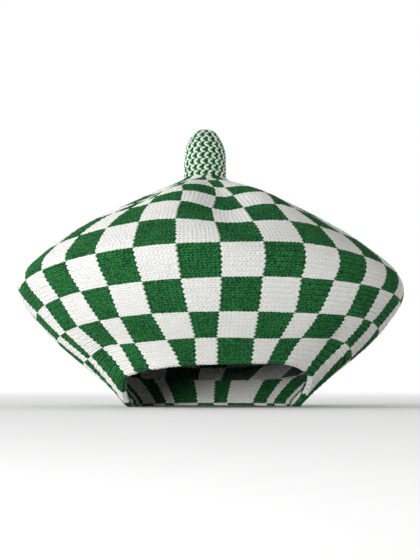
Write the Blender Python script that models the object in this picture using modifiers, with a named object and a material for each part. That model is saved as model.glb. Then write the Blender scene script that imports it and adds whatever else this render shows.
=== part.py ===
"""A knitted beanie: a wide checked crown on a narrow hem, with a stub on top.

Units are metres and +Z is up. The hat rests on a floor at z = 0 on the back and
sides of its hem. Its crown leans back and the front of the hem arches up, so the
opening shows from the front, which is -Y. An azimuth is counted from the front
towards +X, and a path is the length along the wall from the hem to the top.
"""
from collections import namedtuple
from math import cos, pi, radians, sin

import bmesh
import bpy
import numpy as np

# Driving dimensions
HEM_RADIUS = 0.0795
RIM_RADIUS = 0.144
RIM_HEIGHT = 0.074
CROWN_HEIGHT = 0.1605
DEPTH_RATIO = 1.04
LEAN_BACK = radians(9.4)
WALL = 0.0024
HEM_SLIT = 0.0010
TURNED_UP = 0.0020
FACING_HEIGHT = 0.024
STALK_RADIUS = 0.0155
STALK_HEIGHT = 0.0392
PIECE_GAP = 0.0003

# How the hem settles on the floor
FRONT_LIFT = 0.005
RIGHT_LIFT = 0.006
RIGHT_LIFT_TURN = radians(50)
RIGHT_LIFT_WIDTH = radians(28)
ARCH_ENDS_LEFT = radians(54)
ARCH_ENDS_RIGHT = radians(68)
REST_STARTS = radians(92)
SETTLE_PATH = 0.070
SETTLE_SLOPE = 1.1
PRESSED_FLAT = 0.0004

# Sizes that follow from the driving dimensions
FOLD_RADIUS = WALL + HEM_SLIT / 2
UPPER_HEIGHT = CROWN_HEIGHT - RIM_HEIGHT

# Facets
AROUND = 60
FOLD_STEPS = 6
LOWER_STEPS = 5
RIM_STEPS = 5
UPPER_STEPS = 6
TOP_STEPS = 3
RIM_STRETCH = 0.017
FACING_STEPS = 3
STALK_AROUND = 24
STALK_STEPS = 9
SPLINE_STEPS = 24
NUDGE = 0.0005

# Wall from the hem to the rim: the radius grows from the hem's to the rim's
Section = namedtuple("Section", "radius_share height_share side_share")
LOWER_WALL = (
    Section(0.00, 0.00, 0.016),
    Section(0.10, 0.10, 0.019),
    Section(0.27, 0.24, 0.021),
    Section(0.635, 0.52, 0.022),
    Section(0.92, 0.82, 0.015),
    Section(1.003, 0.96, 0.008),
)
# Wall from the rim to the top: the radius shrinks from the rim's to the stalk's
UPPER_WALL = (
    Section(0.992, 0.068, 0.000),
    Section(0.923, 0.185, 0.000),
    Section(0.713, 0.432, -0.011),
    Section(0.420, 0.685, -0.004),
    Section(0.135, 0.893, -0.021),
    Section(0.040, 0.960, -0.028),
    Section(0.000, 1.000, -0.026),
)

# Soft folds of the wall; a positive depth is a dent, a negative one a swelling
Fold = namedtuple("Fold", "azimuth_deg half_width_deg path_share half_length_share depth_share")
FOLDS = (
    Fold(7, 11, 0.61, 0.16, 0.036),
    Fold(-17, 16, 0.70, 0.17, -0.030),
    Fold(31, 15, 0.68, 0.18, -0.030),
    Fold(98, 13, 0.46, 0.035, 0.016),
    Fold(92, 16, 0.55, 0.05, -0.010),
    Fold(60, 7, 0.13, 0.05, 0.018),
    Fold(-50, 8, 0.10, 0.05, 0.014),
    Fold(150, 17, 0.68, 0.18, 0.016),
    Fold(-138, 19, 0.62, 0.16, 0.014),
)

# Stalk from its base to its tip
Turn = namedtuple("Turn", "radius_share height_share")
STALK_TURNS = (
    Turn(1.00, 0.00),
    Turn(0.99, 0.22),
    Turn(0.98, 0.42),
    Turn(0.94, 0.58),
    Turn(0.86, 0.69),
    Turn(0.70, 0.82),
    Turn(0.52, 0.92),
    Turn(0.30, 0.98),
    Turn(0.00, 1.00),
)

GREEN = (0.035, 0.20, 0.065, 1.0)
WHITE = (0.78, 0.78, 0.74, 1.0)
PALE_GREEN = (0.27, 0.42, 0.29, 1.0)


def smooth_step(share):
    """Rise softly from 0 to 1 as the share does."""
    share = np.clip(share, 0, 1)
    return share * share * (3 - 2 * share)


def spline(points):
    """Return points of a smooth curve through the given points."""
    points = np.array(points, float)
    ahead = np.vstack([points[1:], 2 * points[-1] - points[-2]])
    behind = np.vstack([2 * points[0] - points[1], points[:-1]])
    tangents = (ahead - behind) / 2
    share = np.linspace(0, 1, SPLINE_STEPS, endpoint=False)[:, None]
    curve = []
    for start, end, leave, arrive in zip(points, points[1:], tangents, tangents[1:]):
        curve.append((2 * share**3 - 3 * share**2 + 1) * start
                     + (share**3 - 2 * share**2 + share) * leave
                     + (3 * share**2 - 2 * share**3) * end
                     + (share**3 - share**2) * arrive)
    return np.vstack(curve + [points[-1:]])


def wall_sections():
    """Return radius, height and sideways shift of each section of the wall."""
    rows = []
    for section in LOWER_WALL:
        radius = HEM_RADIUS + section.radius_share * (RIM_RADIUS - HEM_RADIUS)
        rows.append((radius, section.height_share * RIM_HEIGHT, section.side_share * RIM_RADIUS))
    for section in UPPER_WALL:
        radius = STALK_RADIUS + section.radius_share * (RIM_RADIUS - STALK_RADIUS)
        height = RIM_HEIGHT + section.height_share * UPPER_HEIGHT
        rows.append((radius, height, section.side_share * RIM_RADIUS))
    rows.append((0.0, CROWN_HEIGHT, rows[-1][2]))
    return rows


PROFILE = spline(wall_sections())
PROFILE_PATH = np.append(0, np.cumsum(np.hypot(*np.diff(PROFILE[:, :2], axis=0).T)))
WALL_PATH = PROFILE_PATH[-1]
RIM_PATH = PROFILE_PATH[PROFILE[:, 0].argmax()]
STALK_PATH = WALL_PATH - STALK_RADIUS


def profile(path):
    """Return radius, height and sideways shift at a path."""
    return [np.interp(path, PROFILE_PATH, column) for column in PROFILE.T]


def fold_depth(azimuth, path):
    """Return how deep the folds press the wall in at a place."""
    depth = 0
    for fold in FOLDS:
        turn = (azimuth - radians(fold.azimuth_deg) + pi) % (2 * pi) - pi
        across = turn / radians(fold.half_width_deg)
        along = (path / WALL_PATH - fold.path_share) / fold.half_length_share
        depth = depth + fold.depth_share * RIM_RADIUS * np.exp(-across**2 - along**2)
    fade = smooth_step((WALL_PATH - path) / (3 * STALK_RADIUS))
    return depth * fade


def lean_back(side, depth, height):
    """Tip a point of the upright hat back about its hem, whose rear stays down."""
    rear = DEPTH_RATIO * HEM_RADIUS * sin(LEAN_BACK)
    return np.stack([side,
                     depth * cos(LEAN_BACK) + height * sin(LEAN_BACK),
                     height * cos(LEAN_BACK) - depth * sin(LEAN_BACK) + rear], -1)


def leaning_wall(azimuth, path):
    """Return a point of the wall before its hem settles on the floor."""
    azimuth, path = np.broadcast_arrays(azimuth, path)
    radius, height, side = profile(path)
    radius_ahead, height_ahead, _ = profile(np.minimum(path + NUDGE, WALL_PATH))
    radius_behind, height_behind, _ = profile(np.maximum(path - NUDGE, 0))
    run, rise = radius_ahead - radius_behind, height_ahead - height_behind
    depth = fold_depth(azimuth, path) / np.hypot(run, rise)
    radius = radius - depth * rise
    height = height + depth * run
    return lean_back(radius * np.sin(azimuth) + side,
                     -DEPTH_RATIO * radius * np.cos(azimuth), height)


def normal_of(surface, azimuth, path):
    """Return the outward normal of a surface given by azimuth and path."""
    turn = NUDGE / HEM_RADIUS
    around = surface(azimuth + turn, path) - surface(azimuth - turn, path)
    ahead = surface(azimuth, np.minimum(path + NUDGE, WALL_PATH))
    behind = surface(azimuth, np.maximum(path - NUDGE, 0))
    normal = np.cross(around, ahead - behind)
    return normal / np.linalg.norm(normal, axis=-1, keepdims=True)


def plane_height(azimuth):
    """Return the height of the leaning hem's plane over the floor."""
    return DEPTH_RATIO * HEM_RADIUS * (1 + np.cos(azimuth)) * sin(LEAN_BACK)


def right_turn(azimuth):
    """Return the turn from the front, which is below zero on the left."""
    return (azimuth + pi) % (2 * pi) - pi


def from_front(azimuth):
    """Return the angle between an azimuth and the front."""
    return np.abs(right_turn(azimuth))


def settled_share(azimuth):
    """Rise from 0 where the hem arches up in front to 1 where it rests."""
    arch_ends = np.where(right_turn(azimuth) < 0, ARCH_ENDS_LEFT, ARCH_ENDS_RIGHT)
    return smooth_step((from_front(azimuth) - arch_ends) / (REST_STARTS - arch_ends))


def hem_arch(azimuth):
    """Return the height of the hem's lowest point over the floor."""
    lift = FRONT_LIFT * np.clip(np.cos(azimuth), 0, 1)**1.5
    across = (right_turn(azimuth) - RIGHT_LIFT_TURN) / RIGHT_LIFT_WIDTH
    lift = lift + RIGHT_LIFT * np.exp(-across**2)
    return (plane_height(azimuth) + lift) * (1 - settled_share(azimuth))


def wall_point(azimuth, path):
    """Return a point of the wall's outside, with the hem settled on the floor."""
    azimuth, path = np.broadcast_arrays(azimuth, path)
    hem = leaning_wall(azimuth, np.zeros_like(path))
    down = normal_of(leaning_wall, azimuth, np.zeros_like(path))[..., 2]
    lowest = hem[..., 2] - FOLD_RADIUS * (1 + down)
    drop = hem_arch(azimuth) - PRESSED_FLAT - lowest
    inward = SETTLE_SLOPE * plane_height(pi / 2) * settled_share(azimuth)
    inward = inward * smooth_step(2 - 2 * from_front(azimuth) / pi)
    shift = np.stack([-inward * np.sin(azimuth),
                      DEPTH_RATIO * inward * np.cos(azimuth),
                      drop], -1)
    fade = 1 - smooth_step(path / SETTLE_PATH)
    return leaning_wall(azimuth, path) + shift * fade[..., None]


def wall_normal(azimuth, path):
    """Return the outward normal of the settled wall."""
    return normal_of(wall_point, azimuth, path)


def inner_layer(azimuth, path, depth):
    """Return a point that lies a depth behind the wall's outside."""
    return wall_point(azimuth, path) - depth * wall_normal(azimuth, path)


def azimuths(count):
    return np.linspace(-pi, pi, count, endpoint=False)


def loft(name, rings, pole=None):
    """Make an open surface through rings of points, closed to a pole if there is one."""
    mesh = bpy.data.meshes.new(name)
    model = bmesh.new()
    rows = [[model.verts.new(point) for point in ring] for ring in rings]
    count = len(rings[0])
    for lower, upper in zip(rows, rows[1:]):
        for index in range(count):
            after = (index + 1) % count
            model.faces.new((lower[index], lower[after], upper[after], upper[index]))
    if pole is not None:
        tip = model.verts.new(pole)
        for index in range(count):
            model.faces.new((rows[-1][index], rows[-1][(index + 1) % count], tip))
    model.normal_update()
    model.to_mesh(mesh)
    model.free()
    mesh.shade_smooth()
    return bpy.data.objects.new(name, mesh)


def thicken(piece):
    """Give an open surface the wall's thickness on its inner side."""
    solidify = piece.modifiers.new("wall", "SOLIDIFY")
    solidify.thickness = WALL
    solidify.offset = -1
    solidify.use_rim = True


def knit(name, colour):
    """Make a plain knitted wool."""
    material = bpy.data.materials.new(name)
    material.use_nodes = True
    shader = material.node_tree.nodes["Principled BSDF"]
    shader.inputs["Base Color"].default_value = colour
    shader.inputs["Roughness"].default_value = 0.95
    shader.inputs["Metallic"].default_value = 0.0
    material.diffuse_color = colour
    return material


def wall_stations():
    """Return the paths of the crown's rings, closest together round the rim."""
    stations = []
    stretches = ((0, RIM_PATH - RIM_STRETCH, LOWER_STEPS),
                 (RIM_PATH - RIM_STRETCH, RIM_PATH + RIM_STRETCH, RIM_STEPS),
                 (RIM_PATH + RIM_STRETCH, STALK_PATH, UPPER_STEPS),
                 (STALK_PATH, WALL_PATH, TOP_STEPS))
    for start, end, steps in stretches:
        stations += list(np.linspace(start, end, steps, endpoint=False))
    return stations


def crown():
    """The hat's body: a wall from the turned-in fold at the hem to the closed top."""
    around = azimuths(AROUND)
    hem = wall_point(around, 0.0)
    out = wall_normal(around, 0.0)
    centre = hem - out * FOLD_RADIUS
    side = np.cross(np.roll(hem, -1, axis=0) - np.roll(hem, 1, axis=0), out)
    inward = side / np.linalg.norm(side, axis=-1, keepdims=True)
    inward *= np.sign(-inward[:, 2:])
    rings = [inner_layer(around, TURNED_UP, 2 * FOLD_RADIUS)]
    for step in range(FOLD_STEPS, 0, -1):
        turn = pi * step / FOLD_STEPS
        rings.append(centre + FOLD_RADIUS * (cos(turn) * out + sin(turn) * inward))
    rings += [wall_point(around, path) for path in wall_stations()]
    for ring in rings:
        ring[:, 2] = np.maximum(ring[:, 2], 0)
    piece = loft("crown", rings, wall_point(0.0, WALL_PATH))
    piece.data.materials.append(knit("checked_knit", GREEN))
    thicken(piece)
    return piece


def hem_facing():
    """The edge of the knit turned up inside the hem, in line with the fold's end."""
    around = azimuths(AROUND)
    paths = np.linspace(TURNED_UP + PIECE_GAP, FACING_HEIGHT, FACING_STEPS + 1)
    piece = loft("hem_facing", [inner_layer(around, path, WALL + HEM_SLIT) for path in paths])
    piece.data.materials.append(knit("facing_knit", WHITE))
    thicken(piece)
    return piece


def stalk():
    """The blunt knitted stub, an upright thimble that stands on the crown."""
    around = azimuths(STALK_AROUND)
    up = lean_back(0.0, 0.0, 1.0) - lean_back(0.0, 0.0, 0.0)
    top = wall_point(0.0, WALL_PATH)
    outer = (wall_point(around, STALK_PATH) - top) @ up
    inner = (wall_point(around, STALK_PATH + WALL) - top) @ up
    base = np.maximum(outer, inner) + PIECE_GAP
    turns = spline(STALK_TURNS)
    path = np.append(0, np.cumsum(np.hypot(*np.diff(turns, axis=0).T)))
    rings = []
    for length in np.linspace(0, path[-1], STALK_STEPS + 1)[:-1]:
        radius_share, height_share = (np.interp(length, path, column) for column in turns.T)
        radius = radius_share * STALK_RADIUS
        height = base + height_share * (STALK_HEIGHT - base)
        flat = np.stack([radius * np.sin(around), -radius * np.cos(around), 0 * around], -1)
        flat = lean_back(*flat.T) - lean_back(0.0, 0.0, 0.0)
        rings.append(top + flat + height[:, None] * up)
    piece = loft("stalk", rings, top + STALK_HEIGHT * up)
    piece.data.materials.append(knit("stalk_knit", PALE_GREEN))
    thicken(piece)
    return piece


def centre_on_origin(pieces):
    """Put the middle of the hat's box over the origin."""
    corners = np.array([vertex.co for piece in pieces for vertex in piece.data.vertices])
    middle = (corners.min(axis=0) + corners.max(axis=0)) / 2
    for piece in pieces:
        for vertex in piece.data.vertices:
            vertex.co.x -= middle[0]
            vertex.co.y -= middle[1]


def build():
    for item in list(bpy.data.objects):
        bpy.data.objects.remove(item)
    parts = bpy.data.collections.new("beanie")
    bpy.context.scene.collection.children.link(parts)
    pieces = [crown(), hem_facing(), stalk()]
    centre_on_origin(pieces)
    for piece in pieces:
        parts.objects.link(piece)


build()
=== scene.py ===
"""The looks of the knitted beanie, in metres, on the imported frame.

The hat's surface is worked out as in the part's source: an azimuth is counted
from the front, -Y, towards +X, and a path is the length along the wall from the
hem. A path under zero goes round the hem's fold and up the facing inside.
"""
from collections import namedtuple
from math import atan2, cos, pi, radians, sin

import bpy
import numpy as np
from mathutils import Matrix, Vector

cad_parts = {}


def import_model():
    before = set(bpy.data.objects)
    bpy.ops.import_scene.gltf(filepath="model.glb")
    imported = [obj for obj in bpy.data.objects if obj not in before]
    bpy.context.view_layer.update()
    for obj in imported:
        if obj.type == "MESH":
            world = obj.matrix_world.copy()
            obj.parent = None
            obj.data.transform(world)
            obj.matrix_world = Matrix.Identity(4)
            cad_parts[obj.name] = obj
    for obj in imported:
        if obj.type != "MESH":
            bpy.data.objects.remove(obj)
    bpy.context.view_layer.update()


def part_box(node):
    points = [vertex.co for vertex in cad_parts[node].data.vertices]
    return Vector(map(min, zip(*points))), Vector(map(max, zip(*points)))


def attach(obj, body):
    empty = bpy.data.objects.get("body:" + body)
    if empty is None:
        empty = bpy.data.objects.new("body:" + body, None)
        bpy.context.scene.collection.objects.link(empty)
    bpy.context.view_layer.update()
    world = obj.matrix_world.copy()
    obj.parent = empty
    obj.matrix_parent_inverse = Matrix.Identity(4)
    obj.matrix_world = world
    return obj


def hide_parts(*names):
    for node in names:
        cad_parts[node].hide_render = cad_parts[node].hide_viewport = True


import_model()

# Sizes of the hat, as in the part's source
HEM_RADIUS = 0.0795
RIM_RADIUS = 0.144
RIM_HEIGHT = 0.074
CROWN_HEIGHT = 0.1605
DEPTH_RATIO = 1.04
LEAN_BACK = radians(9.4)
WALL = 0.0024
HEM_SLIT = 0.0010
FACING_HEIGHT = 0.024
STALK_RADIUS = 0.0155
STALK_HEIGHT = 0.0392

# How the hem settles on the floor
FRONT_LIFT = 0.005
FRONT_LIFT_POWER = 1.5
RIGHT_LIFT = 0.006
RIGHT_LIFT_TURN = radians(50)
RIGHT_LIFT_WIDTH = radians(28)
ARCH_ENDS_LEFT = radians(54)
ARCH_ENDS_RIGHT = radians(68)
REST_STARTS = radians(92)
SETTLE_PATH = 0.070
SETTLE_SLOPE = 1.1
PRESSED_FLAT = 0.0004

# Sizes that follow from these, and how finely curves and normals are worked out
FOLD_RADIUS = WALL + HEM_SLIT / 2
UPPER_HEIGHT = CROWN_HEIGHT - RIM_HEIGHT
FOLDS_FADE_PATH = 3 * STALK_RADIUS
SPLINE_STEPS = 24
NUDGE = 0.0005
TINY = 1e-12

# The wall from the hem to the rim, and from the rim to the stalk
Section = namedtuple("Section", "radius_share height_share side_share")
LOWER_WALL = (
    Section(0.00, 0.00, 0.016),
    Section(0.10, 0.10, 0.019),
    Section(0.27, 0.24, 0.021),
    Section(0.635, 0.52, 0.022),
    Section(0.92, 0.82, 0.015),
    Section(1.003, 0.96, 0.008),
)
UPPER_WALL = (
    Section(0.992, 0.068, 0.000),
    Section(0.923, 0.185, 0.000),
    Section(0.713, 0.432, -0.011),
    Section(0.420, 0.685, -0.004),
    Section(0.135, 0.893, -0.021),
    Section(0.040, 0.960, -0.028),
    Section(0.000, 1.000, -0.026),
)

# Soft folds of the wall; a positive depth is a dent, a negative one a swelling
Fold = namedtuple("Fold", "azimuth_deg half_width_deg path_share half_length_share depth_share")
FOLDS = (
    Fold(7, 11, 0.61, 0.16, 0.036),
    Fold(-17, 16, 0.70, 0.17, -0.030),
    Fold(31, 15, 0.68, 0.18, -0.030),
    Fold(98, 13, 0.46, 0.035, 0.016),
    Fold(92, 16, 0.55, 0.05, -0.010),
    Fold(60, 7, 0.13, 0.05, 0.018),
    Fold(-50, 8, 0.10, 0.05, 0.014),
    Fold(150, 17, 0.68, 0.18, 0.016),
    Fold(-138, 19, 0.62, 0.16, 0.014),
)

# The stalk from its base to its tip
Turn = namedtuple("Turn", "radius_share height_share")
STALK_TURNS = (
    Turn(1.00, 0.00),
    Turn(0.99, 0.22),
    Turn(0.98, 0.42),
    Turn(0.94, 0.58),
    Turn(0.86, 0.69),
    Turn(0.70, 0.82),
    Turn(0.52, 0.92),
    Turn(0.30, 0.98),
    Turn(0.00, 1.00),
)

# The chart of checks: five gores of six columns. Each line between two rows gives its path,
# how many millimetres it rises and how many degrees its columns turn at every 30 degrees
# from -90 to 90, how far they turn at the back, and the columns' widths in degrees.
# The last shares say how much of the front's end values is left at the knots behind.
GORES = 5
COLUMNS = 6
GORE_STARTS = -32.6
FIRST_COLUMN = -2
FIRST_ROW = -4
WALES_IN_ROW = 7
STITCHES_IN_CHECK = 8
FIRST_KNOT = -90
KNOT_STEP = 30
RowLine = namedtuple("RowLine", "path_share lifts turns back_turn widths")
ROW_LINES = (
    RowLine(-0.1222, (0, 0, 0, 0, 0, 0, 0), (-1, -2.5, -2.5, -1, 1.5, 4.5, 6.5), 6.5,
            (17.5, 7.5, 11.0, 17.5, 8.0, 10.5)),
    RowLine(-0.022, (0, 0, 0, 0, 0, 0, 0), (-1, -2.5, -2.5, -1, 1.5, 4.5, 6.5), 6.5,
            (17.5, 7.5, 11.0, 17.5, 8.0, 10.5)),
    RowLine(0.087, (12, 3.5, -0.5, -1, -1, 8, 16), (8, -2, -4, -2, 0, 2.5, -4), 4,
            (15.3, 11.6, 8.8, 15.3, 11.5, 9.5)),
    RowLine(0.180, (5.5, 2.5, 2, 1.5, 4, 11, 12), (5, -2, -2.5, -1.5, -1, -1.5, -9), 2,
            (12.5, 12.8, 10.5, 13.3, 13.4, 9.5)),
    RowLine(0.293, (-5, -3.5, -2, -0.5, 3, 6.5, 9), (2, 0.5, -1, -1, -0.5, -2.5, -5), 0,
            (12.0, 12.0, 12.0, 12.0, 12.0, 12.0)),
    RowLine(0.392, (-9.5, -7.5, -4, -1, 2.5, 0, -2.5), (-4, -1, -1.5, -0.5, 0.5, -0.5, -1.5), 0,
            (12.0, 12.0, 12.0, 12.0, 12.0, 12.0)),
    RowLine(0.502, (-6, -7, -1, 1, 2, 2, 2), (-8, -5, -4, -1.5, 2, 3.5, 4), 0,
            (12.0, 12.0, 12.0, 12.0, 12.0, 12.0)),
    RowLine(0.611, (0, 0.5, 1, 0.5, -1, 0, 0), (-3, -4, -3.5, -2, 0, 1.5, 2), 0,
            (9.8, 13.7, 12.7, 13.0, 12.9, 9.9)),
    RowLine(0.717, (-4, -8, -12, -0.5, -2, -1, 0), (-2, -2, -1, 0.5, 2, 2, 2), 0,
            (5.2, 13.7, 17.1, 10.0, 18.5, 7.5)),
    RowLine(0.811, (-4, -10, -14, -2, -9, -4, 0), (0, 0, 0, 0, 0, 0, 0), 0,
            (0.6, 13.0, 24.7, 8.5, 24.6, 0.6)),
    RowLine(0.889, (-3, -8, -10, -2, 1.5, 0, 0), (0, 0, 0, 0, 0, 0, 0), 0,
            (0.6, 11.3, 23.5, 16.8, 19.2, 0.6)),
    RowLine(0.944, (0, 0, 0, 0, 0, 0, 0), (0, 0, 0, 0, 0, 0, 0), 0,
            (0.6, 30.0, 6.0, 12.0, 22.8, 0.6)),
)
FRONT_SHARES = (0.75, 0.4, 0.0, 0.4, 0.75)

# Stitches: half widths of yarn are shares of a wale's width, and heights are over the wall
STITCH_LENGTH = 0.00305
LEAST_COLUMN = radians(1.5)
JUST_INSIDE = 1e-6
YARN_HALF_WIDTH = 0.28
PALE_HALF_WIDTH = 0.25
YARN_RISE = 0.00085
YARN_TOP = 0.00055
PALE_STANDS_OUT = 0.0002
THIN_YARN_DEPTH = 0.7
PLY_LENGTH = 3.7
PLY_SPREAD = 0.8
STITCH_OFF_FLOOR = 0.0001

# How unevenly the stitches lie, as shares of their own sizes
Looseness = namedtuple("Looseness", "width along rise")
CLOTH_LOOSENESS = Looseness(width=0.05, along=0.03, rise=0.10)
STALK_LOOSENESS = Looseness(width=0.08, along=0.04, rise=0.10)
CLOTH_SPREAD_LOOSENESS = 0.05

# The ground cloth under the stitches
BASE_DEPTH = 0.00055
GROUND_STEPS = 6
GROUND_OFF_FLOOR = 0.0002
ROWS_TO_TIP = 0.3

# The stalk's stitches and its ground
STALK_WALES = 10
STALK_KNITTED_SHARE = 0.985
STALK_PITCH = 0.00285
STALK_LEAST_STITCHES = 4
STALK_LEG_LENGTH = 0.95
STALK_LEG_SPREAD = 1.15
STALK_SIDES = 48
STALK_RINGS = 30
STALK_GROUND_SHARE = 0.995

# Grid points of the sampled surfaces
CLOTH_AROUND = 480
FACING_SAMPLES = 14
FOLD_SAMPLES = 18
WALL_SAMPLES = 170
STALK_AROUND = 96
STALK_SAMPLES = 60
PLACING_SAMPLES = 121

# The photo's camera
PIXEL = 0.00075
CAMERA_DISTANCE = 1.9
CAMERA_HEIGHT = 0.025
AIM_HEIGHT = 0.095
SENSOR = 36.0
IMAGE_LONG_SIDE = 560

# The studio's light, in front of the hat and on the wall behind it
FRONT_SKY = 0.30
BACK_SKY = 1.0
SKY_RANGE = {"From Min": -0.3, "From Max": 0.8, "To Min": FRONT_SKY, "To Max": BACK_SKY}
PURE_WHITE = (1, 1, 1, 1)
BLACK = (0, 0, 0, 1)
Softbox = namedtuple("Softbox", "name place aim size power")
SOFTBOXES = (
    Softbox("key", (-2.1, -0.4, 0.6), (0, 0, 0.08), 1.0, 26),
    Softbox("low", (-0.75, -1.85, 0.07), (0, 0, 0.04), 0.5, 36),
    Softbox("side", (2.0, -0.4, 0.5), (0, 0, 0.08), 1.0, 5),
)

# The floor, and how far from its lit middle it fades into a glow as bright as the studio's light
# behind it
FLOOR_PALE = (0.94, 0.94, 0.935, 1)
FLOOR_PALER = (0.97, 0.97, 0.965, 1)
FLOOR_GRAIN = 8.0
FLOOR_RADIUS = 9
FLOOR_SIDES = 64
FLOOR_FADES = (1.3, 2.6)
FLOOR_MIDDLE = (0, -1.1, 0)

random = np.random.default_rng(11)


def smooth_step(share):
    """Rise softly from 0 to 1 as the share does."""
    share = np.clip(share, 0, 1)
    return share * share * (3 - 2 * share)


def spline(points):
    """Return points of a smooth curve through the given points."""
    points = np.array(points, float)
    ahead = np.vstack([points[1:], 2 * points[-1] - points[-2]])
    behind = np.vstack([2 * points[0] - points[1], points[:-1]])
    tangents = (ahead - behind) / 2
    share = np.linspace(0, 1, SPLINE_STEPS, endpoint=False)[:, None]
    curve = []
    for start, end, leave, arrive in zip(points, points[1:], tangents, tangents[1:]):
        curve.append((2 * share**3 - 3 * share**2 + 1) * start
                     + (share**3 - 2 * share**2 + share) * leave
                     + (3 * share**2 - 2 * share**3) * end
                     + (share**3 - share**2) * arrive)
    return np.vstack(curve + [points[-1:]])


def wall_sections():
    """Return radius, height and sideways shift of each section of the wall."""
    rows = []
    for section in LOWER_WALL:
        radius = HEM_RADIUS + section.radius_share * (RIM_RADIUS - HEM_RADIUS)
        rows.append((radius, section.height_share * RIM_HEIGHT, section.side_share * RIM_RADIUS))
    for section in UPPER_WALL:
        radius = STALK_RADIUS + section.radius_share * (RIM_RADIUS - STALK_RADIUS)
        height = RIM_HEIGHT + section.height_share * UPPER_HEIGHT
        rows.append((radius, height, section.side_share * RIM_RADIUS))
    rows.append((0.0, CROWN_HEIGHT, rows[-1][2]))
    return rows


PROFILE = spline(wall_sections())
PROFILE_PATH = np.append(0, np.cumsum(np.hypot(*np.diff(PROFILE[:, :2], axis=0).T)))
WALL_PATH = PROFILE_PATH[-1]
FOLD_PATH = pi * FOLD_RADIUS


def profile(path):
    """Return radius, height and sideways shift at a path."""
    return [np.interp(path, PROFILE_PATH, column) for column in PROFILE.T]


def fold_depth(azimuth, path):
    """Return how deep the folds press the wall in at a place."""
    depth = 0
    for fold in FOLDS:
        turn = (azimuth - radians(fold.azimuth_deg) + pi) % (2 * pi) - pi
        across = turn / radians(fold.half_width_deg)
        along = (path / WALL_PATH - fold.path_share) / fold.half_length_share
        depth = depth + fold.depth_share * RIM_RADIUS * np.exp(-across**2 - along**2)
    fade = smooth_step((WALL_PATH - path) / FOLDS_FADE_PATH)
    return depth * fade


def lean_back(side, depth, height):
    """Tip a point of the upright hat back about its hem, whose rear stays down."""
    rear = DEPTH_RATIO * HEM_RADIUS * sin(LEAN_BACK)
    return np.stack([side,
                     depth * cos(LEAN_BACK) + height * sin(LEAN_BACK),
                     height * cos(LEAN_BACK) - depth * sin(LEAN_BACK) + rear], -1)


def leaning_wall(azimuth, path):
    """Return a point of the wall before its hem settles on the floor."""
    azimuth, path = np.broadcast_arrays(azimuth, path)
    radius, height, side = profile(path)
    radius_ahead, height_ahead, _ = profile(np.minimum(path + NUDGE, WALL_PATH))
    radius_behind, height_behind, _ = profile(np.maximum(path - NUDGE, 0))
    run, rise = radius_ahead - radius_behind, height_ahead - height_behind
    depth = fold_depth(azimuth, path) / np.hypot(run, rise)
    radius = radius - depth * rise
    height = height + depth * run
    return lean_back(radius * np.sin(azimuth) + side,
                     -DEPTH_RATIO * radius * np.cos(azimuth), height)


def normal_of(surface, azimuth, path):
    """Return the outward normal of a surface given by azimuth and path."""
    turn = NUDGE / HEM_RADIUS
    around = surface(azimuth + turn, path) - surface(azimuth - turn, path)
    ahead = surface(azimuth, np.minimum(path + NUDGE, WALL_PATH))
    behind = surface(azimuth, np.maximum(path - NUDGE, 0))
    normal = np.cross(around, ahead - behind)
    return normal / np.linalg.norm(normal, axis=-1, keepdims=True)


def plane_height(azimuth):
    """Return the height of the leaning hem's plane over the floor."""
    return DEPTH_RATIO * HEM_RADIUS * (1 + np.cos(azimuth)) * sin(LEAN_BACK)


def right_turn(azimuth):
    """Return the turn from the front, which is below zero on the left."""
    return (azimuth + pi) % (2 * pi) - pi


def from_front(azimuth):
    """Return the angle between an azimuth and the front."""
    return np.abs(right_turn(azimuth))


def settled_share(azimuth):
    """Rise from 0 where the hem arches up in front to 1 where it rests."""
    arch_ends = np.where(right_turn(azimuth) < 0, ARCH_ENDS_LEFT, ARCH_ENDS_RIGHT)
    return smooth_step((from_front(azimuth) - arch_ends) / (REST_STARTS - arch_ends))


def hem_arch(azimuth):
    """Return the height of the hem's lowest point over the floor."""
    lift = FRONT_LIFT * np.clip(np.cos(azimuth), 0, 1)**FRONT_LIFT_POWER
    across = (right_turn(azimuth) - RIGHT_LIFT_TURN) / RIGHT_LIFT_WIDTH
    lift = lift + RIGHT_LIFT * np.exp(-across**2)
    return (plane_height(azimuth) + lift) * (1 - settled_share(azimuth))


def wall_point(azimuth, path):
    """Return a point of the wall's outside, with the hem settled on the floor."""
    azimuth, path = np.broadcast_arrays(azimuth, path)
    hem = leaning_wall(azimuth, np.zeros_like(path))
    down = normal_of(leaning_wall, azimuth, np.zeros_like(path))[..., 2]
    lowest = hem[..., 2] - FOLD_RADIUS * (1 + down)
    drop = hem_arch(azimuth) - PRESSED_FLAT - lowest
    inward = SETTLE_SLOPE * plane_height(pi / 2) * settled_share(azimuth)
    inward = inward * smooth_step(2 - 2 * from_front(azimuth) / pi)
    shift = np.stack([-inward * np.sin(azimuth),
                      DEPTH_RATIO * inward * np.cos(azimuth),
                      drop], -1)
    fade = 1 - smooth_step(path / SETTLE_PATH)
    return leaning_wall(azimuth, path) + shift * fade[..., None]


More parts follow.
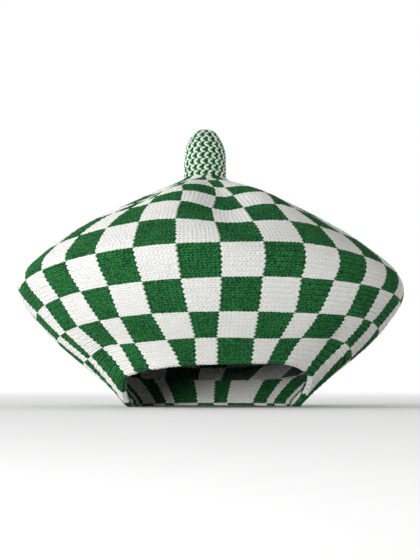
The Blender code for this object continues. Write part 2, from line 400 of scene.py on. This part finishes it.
def cloth_point(azimuth, path):
    """Return a point of the cloth: the facing, the fold or the wall, by its path."""
    azimuth, path = np.broadcast_arrays(np.asarray(azimuth, float), np.asarray(path, float))
    hem = wall_point(azimuth, 0.0)
    out = normal_of(wall_point, azimuth, 0.0 * path)
    turn = NUDGE / HEM_RADIUS
    along = wall_point(azimuth + turn, 0.0) - wall_point(azimuth - turn, 0.0)
    down = np.cross(out, along)
    down /= np.linalg.norm(down, axis=-1, keepdims=True)
    down *= -np.sign(down[..., 2:])
    bend = np.clip(-path / FOLD_RADIUS, 0, pi)[..., None]
    round_fold = hem + FOLD_RADIUS * ((np.cos(bend) - 1) * out + np.sin(bend) * down)
    up_facing = np.maximum(-path - FOLD_PATH, 0)
    facing = (wall_point(azimuth, up_facing)
              - 2 * FOLD_RADIUS * normal_of(wall_point, azimuth, up_facing))
    wall = wall_point(azimuth, np.maximum(path, 0))
    point = np.where(path[..., None] >= 0, wall,
                     np.where(path[..., None] > -FOLD_PATH, round_fold, facing))
    point[..., 2] = np.maximum(point[..., 2], 0)
    return point + PLACE


def middle_of(points):
    """Return the middle of the box round some points."""
    return (points.reshape(-1, 3).min(axis=0) + points.reshape(-1, 3).max(axis=0)) / 2


def place_on_cad():
    """Return the shift that puts the worked-out wall on the frame's crown."""
    low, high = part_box("crown")
    around, path = np.meshgrid(np.linspace(-pi, pi, PLACING_SAMPLES),
                               np.linspace(0, WALL_PATH, PLACING_SAMPLES))
    shift = np.array((low + high) / 2) - middle_of(wall_point(around, path))
    return np.array([shift[0], shift[1], 0.0])


PLACE = place_on_cad()


class Sheet:
    """A surface sampled once on a fine grid, to lay many small things on it."""

    def __init__(self, surface, paths, around):
        self.paths = paths
        self.turns = np.linspace(-pi, pi, around + 1)
        grid = surface(self.turns[None, :-1], paths[:, None])
        sideways = np.roll(grid, -1, axis=1) - np.roll(grid, 1, axis=1)
        upward = np.gradient(grid, paths, axis=0)
        normal = np.cross(sideways, upward)
        normal /= np.linalg.norm(normal, axis=-1, keepdims=True) + TINY
        self.grid = np.concatenate([grid, grid[:, :1]], axis=1)
        self.normal = np.concatenate([normal, normal[:, :1]], axis=1)

    def blend(self, table, azimuth, path):
        """Return a table's values between the four nearest points of the grid."""
        column = (azimuth + pi) % (2 * pi) / (2 * pi) * (len(self.turns) - 1)
        row = np.interp(path, self.paths, np.arange(len(self.paths)))
        left = np.minimum(column.astype(int), len(self.turns) - 2)
        below = np.minimum(row.astype(int), len(self.paths) - 2)
        across, up = (column - left)[..., None], (row - below)[..., None]
        lower = table[below, left] * (1 - across) + table[below, left + 1] * across
        upper = table[below + 1, left] * (1 - across) + table[below + 1, left + 1] * across
        return lower * (1 - up) + upper * up

    def at(self, azimuth, path, height=0.0):
        """Return points a height over the surface."""
        normal = self.blend(self.normal, azimuth, path)
        return self.blend(self.grid, azimuth, path) + normal * np.asarray(height)[..., None]


CLOTH_START = -FOLD_PATH - FACING_HEIGHT
CLOTH = Sheet(cloth_point, np.concatenate([
    np.linspace(CLOTH_START, -FOLD_PATH, FACING_SAMPLES, endpoint=False),
    np.linspace(-FOLD_PATH, 0, FOLD_SAMPLES, endpoint=False),
    np.linspace(0, WALL_PATH, WALL_SAMPLES)]), CLOTH_AROUND)


def make_mesh(name, points, faces, layers=None):
    """Make a smooth mesh; layers gives the places of its vertices on named UV maps."""
    mesh = bpy.data.meshes.new(name)
    mesh.from_pydata(points.reshape(-1, 3), [], faces)
    corners = np.empty(len(mesh.loops), np.int32)
    mesh.loops.foreach_get("vertex_index", corners)
    for title, values in (layers or {}).items():
        layer = mesh.uv_layers.new(name=title)
        layer.data.foreach_set("uv", values.reshape(-1, 2)[corners].astype(np.float32).ravel())
    mesh.shade_smooth()
    piece = bpy.data.objects.new(name, mesh)
    bpy.context.scene.collection.objects.link(piece)
    return piece


# Materials
class Nodes:
    """A short way to make a material's nodes and link them."""

    def __init__(self, name):
        self.material = bpy.data.materials.new(name)
        self.material.use_nodes = True
        self.tree = self.material.node_tree
        self.shader = self.tree.nodes["Principled BSDF"]

    def add(self, kind, inputs=None, **settings):
        """Add a node with its settings and with values or links for its inputs."""
        node = self.tree.nodes.new(kind)
        for name, value in settings.items():
            setattr(node, name, value)
        for name, value in (inputs or {}).items():
            self.set(node.inputs[name], value)
        return node

    def set(self, socket, value):
        """Link an output to a socket, or give the socket a value."""
        if isinstance(value, bpy.types.NodeSocket):
            self.tree.links.new(value, socket)
        else:
            socket.default_value = value

    def maths(self, operation, first, second=0.0):
        """Return the result of an operation on one or two numbers."""
        node = self.add("ShaderNodeMath", operation=operation)
        self.set(node.inputs[0], first)
        self.set(node.inputs[1], second)
        return node.outputs[0]

    def mix(self, factor, first, second):
        """Return a mix of two colours."""
        node = self.add("ShaderNodeMix", data_type="RGBA")
        self.set(node.inputs["Factor"], factor)
        self.set(node.inputs["A"], first)
        self.set(node.inputs["B"], second)
        return node.outputs["Result"]

    def noise(self, coordinates, scale, detail=2.0):
        """Return a soft noise between 0 and 1."""
        return self.add("ShaderNodeTexNoise",
                        {"Vector": coordinates, "Scale": scale, "Detail": detail}).outputs["Fac"]

    def finish(self, **sockets):
        """Set or link the shader's own sockets and return the material."""
        for name, value in sockets.items():
            self.set(self.shader.inputs[name.replace("_", " ")], value)
        return self.material


# Colours of the yarns with their light and dark flecks, and the places of dark, middle and light
# on the ramp that mixes them. The ramp's dark end also takes the shade painted on the yarn's
# sides, and the grounds mix these colours as painted shade and light between stitches
GREEN = (0.0055, 0.062, 0.0160, 1)
GREEN_LIGHT = (0.025, 0.200, 0.052, 1)
GREEN_DARK = (0.0012, 0.020, 0.0045, 1)
WHITE = (0.720, 0.715, 0.690, 1)
WHITE_LIGHT = (0.810, 0.810, 0.790, 1)
WHITE_DARK = (0.500, 0.500, 0.480, 1)
PALE = (0.640, 0.760, 0.640, 1)
PALE_LIGHT = (0.800, 0.880, 0.790, 1)
PALE_DARK = (0.260, 0.420, 0.280, 1)
DARK_STOP, MIDDLE_STOP, LIGHT_STOP = 0.2, 0.5, 0.8

# Noise in the yarn and the ground: each scale is in cells to a metre
Fleck = namedtuple("Fleck", "scale share")
FLECKS = (Fleck(1100.0, 0.72), Fleck(350.0, 0.18), Fleck(60.0, 0.10))
# How much the yarn's crest is lifted to make up for the shade painted on its sides
SIDE_SHADE_LIFT = 0.17
FIBRE_SCALE = 2600.0
FIBRE_SHARE = 0.6
MOTTLE_SCALE = 420.0
MOTTLE_DETAIL = 3.0
STITCH_RELIEF_SHARE = 0.6


def yarn(name, dark, middle, light, fuzz, contrast, side_shade):
    """Make a soft spun yarn: flecked colour, painted shade between strands, plied twist and fuzz.

    Contrast widens the flecks' range, and the last argument paints shade on the yarn's two sides,
    where strands meet.
    """
    nodes = Nodes(name)
    place = nodes.add("ShaderNodeTexCoord").outputs["Object"]
    twist = nodes.add("ShaderNodeUVMap", uv_map="ply").outputs["UV"]
    tone = 0.0
    for fleck in FLECKS:
        part = nodes.maths("MULTIPLY", nodes.noise(place, fleck.scale), fleck.share)
        tone = nodes.maths("ADD", part, tone)
    tone = nodes.maths("MULTIPLY", nodes.maths("SUBTRACT", tone, MIDDLE_STOP), contrast)
    # Painted shade: the yarn is darker towards its two sides, where strands meet, and lighter at
    # its crest
    across = nodes.add("ShaderNodeSeparateXYZ", {"Vector": twist}).outputs["Y"]
    painted_side_shade = nodes.maths("MULTIPLY", nodes.maths("MULTIPLY", across, across), side_shade)
    crest = nodes.maths("ADD", tone, MIDDLE_STOP + SIDE_SHADE_LIFT * side_shade)
    ramp = nodes.add("ShaderNodeValToRGB", {"Fac": nodes.maths("SUBTRACT", crest, painted_side_shade)})
    stops = ramp.color_ramp.elements
    stops[0].position, stops[0].color = DARK_STOP, dark
    stops[1].position, stops[1].color = LIGHT_STOP, light
    stops.new(MIDDLE_STOP).color = middle
    ply = nodes.add("ShaderNodeTexWave", {"Vector": twist, "Scale": 0.5, "Distortion": 0.6,
                                          "Detail": 1.0, "Detail Scale": 2.0},
                    wave_type="BANDS", bands_direction="DIAGONAL").outputs["Fac"]
    fibre = nodes.noise(place, FIBRE_SCALE)
    relief = nodes.maths("ADD", ply, nodes.maths("MULTIPLY", fibre, FIBRE_SHARE))
    bump = nodes.add("ShaderNodeBump", {"Strength": 0.55, "Distance": 0.00025, "Height": relief})
    return nodes.finish(Base_Color=ramp.outputs["Color"], Roughness=0.92, Sheen_Weight=fuzz,
                        Sheen_Roughness=0.6, Sheen_Tint=light, Specular_IOR_Level=0.2,
                        Normal=bump.outputs["Normal"])


def mottle(nodes):
    """Return the soft mottle of the ground's colours."""
    place = nodes.add("ShaderNodeTexCoord").outputs["Object"]
    return nodes.noise(place, MOTTLE_SCALE, MOTTLE_DETAIL)


def matt_wool(nodes, colour, relief, strength, distance):
    """Finish a ground's material as matt wool with a relief."""
    bump = nodes.add("ShaderNodeBump",
                     {"Strength": strength, "Distance": distance, "Height": relief})
    return nodes.finish(Base_Color=colour, Roughness=0.95, Specular_IOR_Level=0.2,
                        Sheen_Weight=0.2, Normal=bump.outputs["Normal"])


def checked_ground():
    """Make the knit's ground and its purl back, in checks from the chart's map."""
    nodes = Nodes("knit_ground")
    chart = nodes.add("ShaderNodeUVMap", uv_map="chart").outputs["UV"]
    split = nodes.add("ShaderNodeSeparateXYZ", {"Vector": chart})
    column = nodes.maths("FLOOR", split.outputs["X"])
    row = nodes.maths("FLOOR", split.outputs["Y"])
    odd = nodes.maths("FLOORED_MODULO", nodes.maths("ADD", column, row), 2.0)
    # Painted shade and light: the ground shows in the gaps between stitches, so its green is
    # darker than the green yarn to paint shade into those gaps, and its white is a little lighter
    # than the white yarn to paint light that softens their shade
    soft = mottle(nodes)
    green = nodes.mix(soft, GREEN_DARK, GREEN)
    white = nodes.mix(soft, WHITE, WHITE_LIGHT)
    along = nodes.maths("MULTIPLY", split.outputs["X"], 2 * pi * STITCHES_IN_CHECK)
    across = nodes.maths("MULTIPLY", split.outputs["Y"], 2 * pi * WALES_IN_ROW)
    ridges = nodes.maths("MULTIPLY", nodes.maths("SINE", along), STITCH_RELIEF_SHARE)
    purl = nodes.maths("ADD", nodes.maths("SINE", across), ridges)
    return matt_wool(nodes, nodes.mix(odd, green, white), purl, strength=0.8, distance=0.0006)


GREEN_YARN = yarn("green_yarn", GREEN_DARK, GREEN, GREEN_LIGHT,
                  fuzz=0.15, contrast=2.6, side_shade=0.95)
WHITE_YARN = yarn("white_yarn", WHITE_DARK, WHITE, WHITE_LIGHT,
                  fuzz=0.25, contrast=1.0, side_shade=0.25)
PALE_YARN = yarn("pale_yarn", PALE_DARK, PALE, PALE_LIGHT,
                 fuzz=0.20, contrast=2.0, side_shade=0.50)

# The chart's place on the cloth
ROW_PATHS = np.array([line.path_share for line in ROW_LINES]) * WALL_PATH
EDGES = np.radians([np.append(0, np.cumsum(line.widths)) for line in ROW_LINES])


def all_round(front, back):
    """Carry a line's values at the front on round the back, knot by knot."""
    ends = (front[-1], front[-1], front[-1], front[0], front[0])
    return front + tuple(share * end + (1 - share) * back
                         for share, end in zip(FRONT_SHARES, ends))


LIFTS = 0.001 * np.array([all_round(line.lifts, 0) for line in ROW_LINES])
TURNS = np.radians([all_round(line.turns, line.back_turn) for line in ROW_LINES])


def between_lines(values, row):
    """Return values of the row lines at running rows, counted from the first line."""
    low = np.clip(np.floor(row).astype(int), 0, len(values) - 2)
    share = (row - low).reshape(row.shape + (1,) * (values.ndim - 1))
    return values[low] * (1 - share) + values[low + 1] * share


def swing(table, azimuth, row):
    """Return a smooth value between a table's knots at an azimuth and a running row."""
    knots = between_lines(table, row)
    place = (np.degrees(azimuth) - FIRST_KNOT) / KNOT_STEP
    first = np.floor(place).astype(int)
    share = place - first
    count = table.shape[1]
    before, start, end, after = (
        np.take_along_axis(knots, ((first + step) % count)[..., None], -1)[..., 0]
        for step in (-1, 0, 1, 2))
    return (start + share * (end - before) / 2
            + share**2 * (before - 2.5 * start + 2 * end - after / 2)
            + share**3 * (1.5 * start - before / 2 - 1.5 * end + after / 2))


def chart_azimuth(column, row):
    """Return the azimuth of a running column, counted from the first gore's start."""
    gore = np.clip(np.floor(column / COLUMNS), 0, GORES - 1)
    within = column - gore * COLUMNS
    edges = between_lines(EDGES, row)
    low = np.clip(np.floor(within).astype(int), 0, COLUMNS - 1)
    start = np.take_along_axis(edges, low[..., None], -1)[..., 0]
    end = np.take_along_axis(edges, low[..., None] + 1, -1)[..., 0]
    turn = radians(GORE_STARTS) + gore * 2 * pi / GORES + start + (within - low) * (end - start)
    return turn + swing(TURNS, turn, row)


def chart_path(azimuth, row):
    """Return the path of a running row at an azimuth."""
    return np.maximum(between_lines(ROW_PATHS, row) + swing(LIFTS, azimuth, row), CLOTH_START)


def is_green(column, row):
    """Tell the colour of a check by its running column and row."""
    return (column + FIRST_COLUMN + row + FIRST_ROW) % 2 == 0


# Stitches lie on their sides: each is two legs of yarn that lean apart towards the right
Station = namedtuple("Station", "along across width rise")
LEG = (
    Station(-0.32, 0.05, 0.00, -0.75),
    Station(-0.02, 0.13, 0.86, -0.10),
    Station(0.42, 0.25, 1.00, 0.16),
    Station(0.88, 0.34, 0.86, -0.14),
    Station(1.22, 0.36, 0.00, -0.85),
)
LEG_SIDES = 4


def leg_template():
    """Return along, across, width and rise of a leg's points, and its faces."""
    points = []
    rings = []
    for station in LEG:
        if station.width == 0:
            rings.append([len(points)])
            points.append((station.along, station.across, 0.0, station.rise))
            continue
        ring = []
        for side in range(LEG_SIDES + 1):
            bend = pi * side / LEG_SIDES
            depth = THIN_YARN_DEPTH + (1 - THIN_YARN_DEPTH) * station.width
            ring.append(len(points))
            points.append((station.along, station.across, -cos(bend) * station.width,
                           station.rise + (sin(bend) - 1) * depth))
        rings.append(ring)
    faces = []
    for low, high in zip(rings, rings[1:]):
        for side in range(LEG_SIDES):
            if len(low) == 1:
                faces.append((low[0], high[side + 1], high[side]))
            elif len(high) == 1:
                faces.append((low[side], low[side + 1], high[0]))
            else:
                faces.append((low[side], low[side + 1], high[side + 1], high[side]))
    return np.array(points), faces


LEG_POINTS, LEG_FACES = leg_template()
LEG_SIDE = np.array([-1.0, 1.0])[None, :, None]
Stitch = namedtuple("Stitch", "azimuth length row green")


def stitches():
    """Return every stitch of the cloth, wale by wale and column by column."""
    found = []
    columns = np.arange(GORES * COLUMNS)
    for wale in range(WALES_IN_ROW * (len(ROW_LINES) - 1)):
        row = (wale + 0.5) / WALES_IN_ROW
        rows = np.full(columns.shape, row)
        starts = chart_azimuth(columns + JUST_INSIDE, rows)
        ends = chart_azimuth(columns + 1 - JUST_INSIDE, rows)
        paths = chart_path((starts + ends) / 2, rows)
        radii = profile(np.where(paths < 0, np.maximum(-paths - FOLD_PATH, 0), paths))[0]
        radii = radii * (1 + DEPTH_RATIO) / 2
        for column, start, end, radius in zip(columns, starts, ends, radii):
            if end - start < LEAST_COLUMN:
                continue
            count = max(1, round((end - start) * radius / STITCH_LENGTH))
            for index in range(count):
                found.append((start + index * (end - start) / count, (end - start) / count, row,
                              is_green(column, int(row))))
    return Stitch(*np.array(found, float).T)


def ply_map(along, width, azimuth):
    """Return the yarn's own map: a point's place along the yarn and off its middle."""
    places = np.broadcast_arrays(along * PLY_LENGTH, LEG_SIDE * width * PLY_SPREAD, azimuth)
    return np.stack(places[:2], -1)


def cloth_legs(stitch):
    """Return points, azimuths, paths and yarn map of all legs of the cloth's stitches."""
    jitter = random.normal(0, 1, (4, len(stitch.azimuth), 2, 1))
    along, across, width, rise = LEG_POINTS.T[:, None, None, :]
    start, length, row = (values[:, None, None] for values in stitch[:3])
    spread = across * (1 + CLOTH_SPREAD_LOOSENESS * jitter[0])
    thick = width * YARN_HALF_WIDTH * (1 + CLOTH_LOOSENESS.width * jitter[1])
    azimuth = start + length * (along + CLOTH_LOOSENESS.along * jitter[2])
    height = YARN_TOP + YARN_RISE * (rise + CLOTH_LOOSENESS.rise * jitter[3])
    running_row = row + LEG_SIDE * (spread + thick) / WALES_IN_ROW
    azimuth, running_row = np.broadcast_arrays(azimuth, running_row)
    path = chart_path(azimuth, np.clip(running_row, 0, len(ROW_LINES) - 1))
    return CLOTH.at(azimuth, path, height), azimuth, path, ply_map(along, width, azimuth)


def leg_faces(count):
    """Return the faces of a number of legs in pairs, the upper one turned over."""
    size = len(LEG_POINTS)
    faces = []
    for leg in range(count):
        base = leg * size
        if leg % 2:
            faces += [tuple(base + corner for corner in reversed(face)) for face in LEG_FACES]
        else:
            faces += [tuple(base + corner for corner in face) for face in LEG_FACES]
    return faces


def stitch_piece(name, stitch, chosen, material):
    """Make one mesh of the chosen stitches."""
    some = Stitch(*[values[chosen] for values in stitch])
    points, azimuth, path, ply = cloth_legs(some)
    points[..., 2] = np.maximum(points[..., 2], STITCH_OFF_FLOOR)
    unrolled = np.stack([(azimuth - radians(GORE_STARTS)) / (2 * pi),
                         (path - path.min()) / (path.max() - path.min())], -1)
    unrolled = np.clip(unrolled, 0, 1)
    faces = leg_faces(2 * len(some.azimuth))
    piece = make_mesh(name, points, faces, {"ply": ply, "OFBake": unrolled})
    piece.data.materials.append(material)
    return piece


def ring_faces(rows, columns, tip=None):
    """Return the faces of closed rings of points, and of a tip over the last ring."""
    faces = []
    for row in range(rows - 1):
        for column in range(columns):
            after = (column + 1) % columns
            faces.append((row * columns + column, row * columns + after,
                          (row + 1) * columns + after, (row + 1) * columns + column))
    if tip is not None:
        last = (rows - 1) * columns
        faces += [(last + column, last + (column + 1) % columns, tip) for column in range(columns)]
    return faces


def thicken(piece):
    """Give a ground the wall's thickness on its inner side."""
    solidify = piece.modifiers.new("wall", "SOLIDIFY")
    solidify.thickness = WALL - BASE_DEPTH
    solidify.offset = -1


def knit_ground():
    """Make the cloth under the stitches on the chart's grid: facing, fold and wall."""
    columns = np.linspace(0, GORES * COLUMNS, GORES * COLUMNS * GROUND_STEPS + 1)
    rows = np.linspace(0, len(ROW_LINES) - 1, (len(ROW_LINES) - 1) * WALES_IN_ROW + 1)
    column, row = np.meshgrid(columns, rows)
    azimuth = chart_azimuth(column, row)
    path = chart_path(azimuth, row)
    points = CLOTH.at(azimuth, path, np.full(azimuth.shape, -BASE_DEPTH))[:, :-1]
    points[..., 2] = np.maximum(points[..., 2], GROUND_OFF_FLOOR)
    top = CLOTH.at(np.zeros(1), np.full(1, WALL_PATH), np.full(1, -BASE_DEPTH))
    height, width = points.shape[:2]
    faces = ring_faces(height, width, height * width)
    piece = make_mesh("knit_ground", np.vstack([points.reshape(-1, 3), top]), faces)
    unrolled = np.stack([column / columns[-1], (path - path.min()) / (WALL_PATH - path.min())], -1)
    for title, values, tip in (("chart", np.stack([column, row], -1), rows[-1] + ROWS_TO_TIP),
                               ("OFBake", unrolled, 1.0)):
        quads = np.stack([values[:-1, :-1], values[:-1, 1:], values[1:, 1:], values[1:, :-1]], 2)
        ends = np.stack([values[-1, :-1], values[-1, 1:], values[-1, :-1]], 1)
        ends[:, 2, 1] = tip
        places = np.concatenate([quads.reshape(-1, 2), ends.reshape(-1, 2)])
        layer = piece.data.uv_layers.new(name=title)
        layer.data.foreach_set("uv", places.astype(np.float32).ravel())
    thicken(piece)
    piece.data.materials.append(checked_ground())
    return piece


def stalk_axis():
    """Return the stalk's foot and its upward direction."""
    up = lean_back(0.0, 0.0, 1.0) - lean_back(0.0, 0.0, 0.0)
    return wall_point(0.0, WALL_PATH) + PLACE, up


STALK_CURVE = spline(STALK_TURNS) * (STALK_RADIUS, STALK_HEIGHT)
STALK_LENGTHS = np.append(0, np.cumsum(np.hypot(*np.diff(STALK_CURVE, axis=0).T)))
STALK_LENGTH = STALK_LENGTHS[-1]


def stalk_point(azimuth, path):
    """Return a point of the stalk's outside."""
    azimuth, path = np.broadcast_arrays(np.asarray(azimuth, float), np.asarray(path, float))
    foot, up = stalk_axis()
    radius, height = (np.interp(path, STALK_LENGTHS, column) for column in STALK_CURVE.T)
    flat = lean_back(radius * np.sin(azimuth), -radius * np.cos(azimuth), 0 * radius)
    return foot + flat - lean_back(0.0, 0.0, 0.0) + height[..., None] * up


STALK_SHEET = Sheet(stalk_point, np.linspace(0, STALK_LENGTH, STALK_SAMPLES), STALK_AROUND)


def stalk_legs(green):
    """Return the points and maps of the stalk's stitches of one colour."""
    rows = []
    tall = STALK_LENGTH * STALK_KNITTED_SHARE / STALK_WALES
    for wale in range(STALK_WALES):
        path = (wale + 0.5) * tall
        radius = np.interp(path, STALK_LENGTHS, STALK_CURVE[:, 0])
        count = max(STALK_LEAST_STITCHES, 2 * round(pi * radius / STALK_PITCH))
        for index in range(count):
            if (index + wale) % 2 != green:
                rows.append((2 * pi * index / count, 2 * pi / count, path))
    start, length, path = (values[:, None, None] for values in np.array(rows).T)
    along, across, width, rise = LEG_POINTS.T[:, None, None, :]
    jitter = random.normal(0, 1, (3, len(rows), 2, 1))
    strand = YARN_HALF_WIDTH if green else PALE_HALF_WIDTH
    thick = width * strand * (1 + STALK_LOOSENESS.width * jitter[0])
    turn = start + length * (along * STALK_LEG_LENGTH + STALK_LOOSENESS.along * jitter[1])
    across_path = path + tall * LEG_SIDE * (across * STALK_LEG_SPREAD + thick)
    turn, across_path = np.broadcast_arrays(turn, across_path)
    height = YARN_TOP + YARN_RISE * (rise + STALK_LOOSENESS.rise * jitter[2])
    if not green:
        height = height + PALE_STANDS_OUT
    points = STALK_SHEET.at(turn, np.clip(across_path, 0, STALK_LENGTH), height)
    flat = np.clip(np.stack([turn / (2 * pi), across_path / STALK_LENGTH], -1), 0, 1)
    return points, ply_map(along, width, turn), flat


def stalk_piece(name, green, material):
    """Make one mesh of the stalk's stitches of one colour."""
    points, ply, flat = stalk_legs(green)
    piece = make_mesh(name, points, leg_faces(2 * len(points)), {"ply": ply, "OFBake": flat})
    piece.data.materials.append(material)
    return piece


def stalk_ground():
    """Make the stalk's cloth under its stitches, an upright thimble."""
    nodes = Nodes("stalk_ground")
    # Painted shade: the ground shows between the stalk's stitches, so its green is darker than the
    # green yarn
    soft = mottle(nodes)
    material = matt_wool(nodes, nodes.mix(soft, GREEN_DARK, GREEN), soft,
                         strength=0.6, distance=0.0003)
    around = np.linspace(-pi, pi, STALK_SIDES, endpoint=False)
    lengths = np.linspace(0, STALK_LENGTH * STALK_GROUND_SHARE, STALK_RINGS)
    turn, length = np.meshgrid(around, lengths)
    points = STALK_SHEET.at(turn, length, np.full(turn.shape, -BASE_DEPTH))
    foot, up = stalk_axis()
    tip = foot + up * (STALK_HEIGHT - BASE_DEPTH)
    faces = ring_faces(*turn.shape, turn.size)
    piece = make_mesh("stalk_ground", np.vstack([points.reshape(-1, 3), tip]), faces)
    thicken(piece)
    piece.data.materials.append(material)
    return piece


# The pieces; the cloth's stitches are shared out by their rows
FIRST_LOWER_ROW = 1
FIRST_UPPER_ROW = 5
ALL_STITCHES = stitches()
GREEN_ONES = ALL_STITCHES.green == 1
INSIDE = ALL_STITCHES.row < FIRST_LOWER_ROW
LOWER = (ALL_STITCHES.row < FIRST_UPPER_ROW) & ~INSIDE
UPPER = ALL_STITCHES.row >= FIRST_UPPER_ROW

ground = knit_ground()
cloth_pieces = [ground]
for part_name, zone in (("facing", INSIDE), ("lower", LOWER), ("upper", UPPER)):
    cloth_pieces.append(stitch_piece(f"{part_name}_green_stitches", ALL_STITCHES,
                                     zone & GREEN_ONES, GREEN_YARN))
    cloth_pieces.append(stitch_piece(f"{part_name}_white_stitches", ALL_STITCHES,
                                     zone & ~GREEN_ONES, WHITE_YARN))
stalk_ground_piece = stalk_ground()
stalk_pieces = [stalk_ground_piece,
                stalk_piece("stalk_green_stitches", True, GREEN_YARN),
                stalk_piece("stalk_white_stitches", False, PALE_YARN)]

for piece in cloth_pieces + stalk_pieces:
    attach(piece, "root")
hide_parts("crown")
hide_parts("hem_facing")
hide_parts("stalk")


# Stage: floor, light and camera
def floor():
    """Make a pale floor that, far from the hat, loses its own colour and glows as bright as the
    studio's light in that direction.
    """
    nodes = Nodes("pale_floor")
    place = nodes.add("ShaderNodeTexCoord").outputs["Object"]
    pale = nodes.mix(nodes.noise(place, FLOOR_GRAIN), FLOOR_PALE, FLOOR_PALER)
    # Far from its middle the floor turns black and glows instead, as bright as the world's light
    # in its heading
    away = nodes.add("ShaderNodeVectorMath", {0: place, 1: FLOOR_MIDDLE},
                     operation="DISTANCE").outputs["Value"]
    far = nodes.add("ShaderNodeMapRange", {"Value": away, "From Min": FLOOR_FADES[0],
                                           "From Max": FLOOR_FADES[1]}).outputs["Result"]
    heading = nodes.add("ShaderNodeVectorMath", {0: place}, operation="NORMALIZE")
    towards = nodes.add("ShaderNodeSeparateXYZ", {"Vector": heading.outputs["Vector"]})
    wall = nodes.add("ShaderNodeMapRange", dict(SKY_RANGE, Value=towards.outputs["Y"]))
    nodes.finish(Base_Color=nodes.mix(far, pale, BLACK), Roughness=0.9,
                 Specular_IOR_Level=0.0, Emission_Color=PURE_WHITE,
                 Emission_Strength=nodes.maths("MULTIPLY", far, wall.outputs["Result"]))
    turns = np.linspace(0, 2 * pi, FLOOR_SIDES, endpoint=False)
    points = FLOOR_RADIUS * np.stack([np.cos(turns), np.sin(turns), 0 * turns], -1)
    piece = make_mesh("floor", points, [tuple(range(FLOOR_SIDES))])
    piece.data.materials.append(nodes.material)


def hang(box):
    """Hang a round softbox at its place and turn it to its aim."""
    lamp = bpy.data.lights.new(box.name, "AREA")
    lamp.shape = "DISK"
    lamp.size = box.size
    lamp.energy = box.power
    thing = bpy.data.objects.new(box.name, lamp)
    thing.location = box.place
    heading = Vector(box.aim) - Vector(box.place)
    thing.rotation_euler = heading.to_track_quat("-Z", "Y").to_euler()
    bpy.context.scene.collection.objects.link(thing)


def camera():
    """Look at the hat from low in front, at the photo's angle and scale."""
    data = bpy.data.cameras.new("camera")
    data.sensor_width = SENSOR
    data.lens = SENSOR / IMAGE_LONG_SIDE * CAMERA_DISTANCE / PIXEL
    thing = bpy.data.objects.new("camera", data)
    thing.location = (PLACE[0], PLACE[1] - CAMERA_DISTANCE, CAMERA_HEIGHT)
    pitch = atan2(AIM_HEIGHT - CAMERA_HEIGHT, CAMERA_DISTANCE)
    thing.rotation_euler = (pi / 2 + pitch, 0, 0)
    bpy.context.scene.collection.objects.link(thing)
    bpy.context.scene.camera = thing


def world():
    """Light the studio from all round, most from the pale wall behind the hat."""
    sky = bpy.data.worlds.new("studio")
    sky.use_nodes = True
    nodes, links = sky.node_tree.nodes, sky.node_tree.links
    place = nodes.new("ShaderNodeTexCoord")
    split = nodes.new("ShaderNodeSeparateXYZ")
    strength = nodes.new("ShaderNodeMapRange")
    for name, value in SKY_RANGE.items():
        strength.inputs[name].default_value = value
    links.new(place.outputs["Generated"], split.inputs["Vector"])
    links.new(split.outputs["Y"], strength.inputs["Value"])
    links.new(strength.outputs["Result"], nodes["Background"].inputs["Strength"])
    nodes["Background"].inputs["Color"].default_value = PURE_WHITE
    bpy.context.scene.world = sky
    bpy.context.scene.view_settings.view_transform = "Standard"


floor()
world()
for softbox in SOFTBOXES:
    hang(softbox)
camera()
